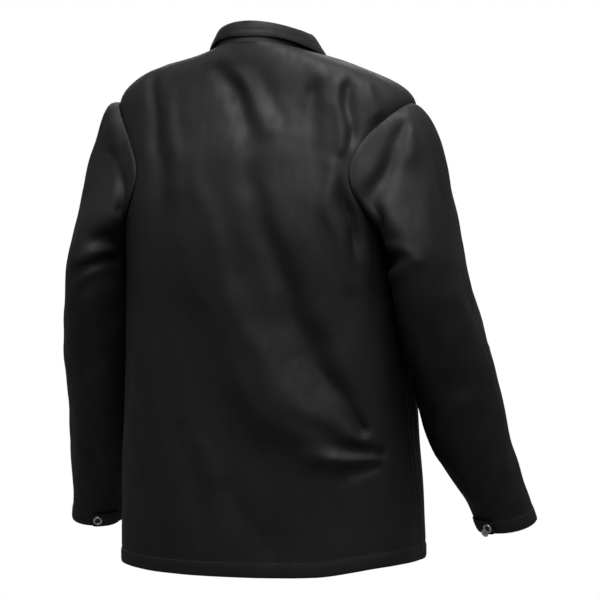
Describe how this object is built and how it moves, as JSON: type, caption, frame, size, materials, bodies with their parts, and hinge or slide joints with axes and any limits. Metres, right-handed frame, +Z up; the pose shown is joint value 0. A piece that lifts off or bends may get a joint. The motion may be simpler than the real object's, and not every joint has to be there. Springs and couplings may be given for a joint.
{
  "type": "leather welding jacket",
  "caption": "Hip-length leather work jacket with a stand-and-fall collar, set-in sleeves, snap front and snap cuffs, in worn shape.",
  "frame": {"origin": "middle of the hanger loop's gap behind the neck, where a peg holds the jacket", "axes": "+Z up along the back, -Y the way the front faces, +X the wearer's left"},
  "size_m": [0.731, 0.3195, 0.7938],
  "materials": {
    "outer_leather": "smooth matte black with a soft sheen",
    "inner_leather": "matte suede flesh side, dark grey",
    "tape": "woven black tape",
    "nickel": "nickel-plated, polished with fine scratches"
  },
  "bodies": {
    "body": {"back_panel": "outer_leather", "left_front_upper": "outer_leather", "right_front_upper": "outer_leather", "left_facing_upper": "inner_leather", "right_facing_upper": "inner_leather", "collar_stand": "outer_leather", "collar_leaf": "outer_leather", "back_neck_facing": "inner_leather", "hanger_loop": "tape", "neck_label": "tape", "inside_pocket": "inner_leather", "front_snap_cap_1": "nickel", "front_snap_socket_1": "nickel", "front_snap_stud_1": "nickel", "front_snap_post_1": "nickel"},
    "left_front": {"left_front_lower": "outer_leather", "left_facing_lower": "inner_leather", "front_snap_cap_2": "nickel", "front_snap_socket_2": "nickel", "front_snap_cap_3": "nickel", "front_snap_socket_3": "nickel", "front_snap_cap_4": "nickel", "front_snap_socket_4": "nickel", "front_snap_cap_5": "nickel", "front_snap_socket_5": "nickel"},
    "right_front": {"right_front_lower": "outer_leather", "right_facing_lower": "inner_leather", "front_snap_stud_2": "nickel", "front_snap_post_2": "nickel", "front_snap_stud_3": "nickel", "front_snap_post_3": "nickel", "front_snap_stud_4": "nickel", "front_snap_post_4": "nickel", "front_snap_stud_5": "nickel", "front_snap_post_5": "nickel"},
    "left_sleeve": {"left_upper_sleeve": "outer_leather"},
    "left_forearm": {"left_forearm_sleeve": "outer_leather", "left_cuff_facing": "inner_leather", "left_cuff_snap_stud": "nickel", "left_cuff_snap_post": "nickel"},
    "left_flap": {"left_cuff_flap": "outer_leather", "left_cuff_snap_cap": "nickel", "left_cuff_snap_socket": "nickel"},
    "right_sleeve": {"right_upper_sleeve": "outer_leather"},
    "right_forearm": {"right_forearm_sleeve": "outer_leather", "right_cuff_facing": "inner_leather", "right_cuff_snap_stud": "nickel", "right_cuff_snap_post": "nickel"},
    "right_flap": {"right_cuff_flap": "outer_leather", "right_cuff_snap_cap": "nickel", "right_cuff_snap_socket": "nickel"}
  },
  "joints": [
    {"name": "left_front_open", "type": "hinge", "parent": "body", "child": "left_front", "pos_m": [0.0785, -0.2418, -0.45], "axis": [0, 0.0479, 0.9989], "range_deg": [0, 75]},
    {"name": "right_front_open", "type": "hinge", "parent": "body", "child": "right_front", "pos_m": [-0.0785, -0.2418, -0.45], "axis": [0, -0.0479, -0.9989], "range_deg": [0, 30]},
    {"name": "left_sleeve_raise", "type": "hinge", "parent": "body", "child": "left_sleeve", "pos_m": [0.2205, -0.072, -0.0785], "axis": [0, -1, 0], "range_deg": [0, 45]},
    {"name": "left_elbow_bend", "type": "hinge", "parent": "left_sleeve", "child": "left_forearm", "pos_m": [0.265, -0.17484, -0.40109], "axis": [-0.9911, -0.0475, -0.124], "range_deg": [0, 75]},
    {"name": "left_cuff_flap_open", "type": "hinge", "parent": "left_forearm", "child": "left_flap", "pos_m": [0.27591, -0.18501, -0.6972], "axis": [-0.218, 0.2962, 0.9299], "range_deg": [0, 60]},
    {"name": "right_sleeve_raise", "type": "hinge", "parent": "body", "child": "right_sleeve", "pos_m": [-0.2205, -0.072, -0.0785], "axis": [0, 1, 0], "range_deg": [0, 45]},
    {"name": "right_elbow_bend", "type": "hinge", "parent": "right_sleeve", "child": "right_forearm", "pos_m": [-0.265, -0.17484, -0.40109], "axis": [-0.9911, 0.0475, 0.124], "range_deg": [0, 75]},
    {"name": "right_cuff_flap_open", "type": "hinge", "parent": "right_forearm", "child": "right_flap", "pos_m": [-0.27591, -0.18501, -0.6972], "axis": [-0.218, -0.2962, -0.9299], "range_deg": [0, 60]}
  ],
  "couplings": [
    {"joint": "right_front_open", "follows": "left_front_open", "ratio": 0.4}
  ]
}
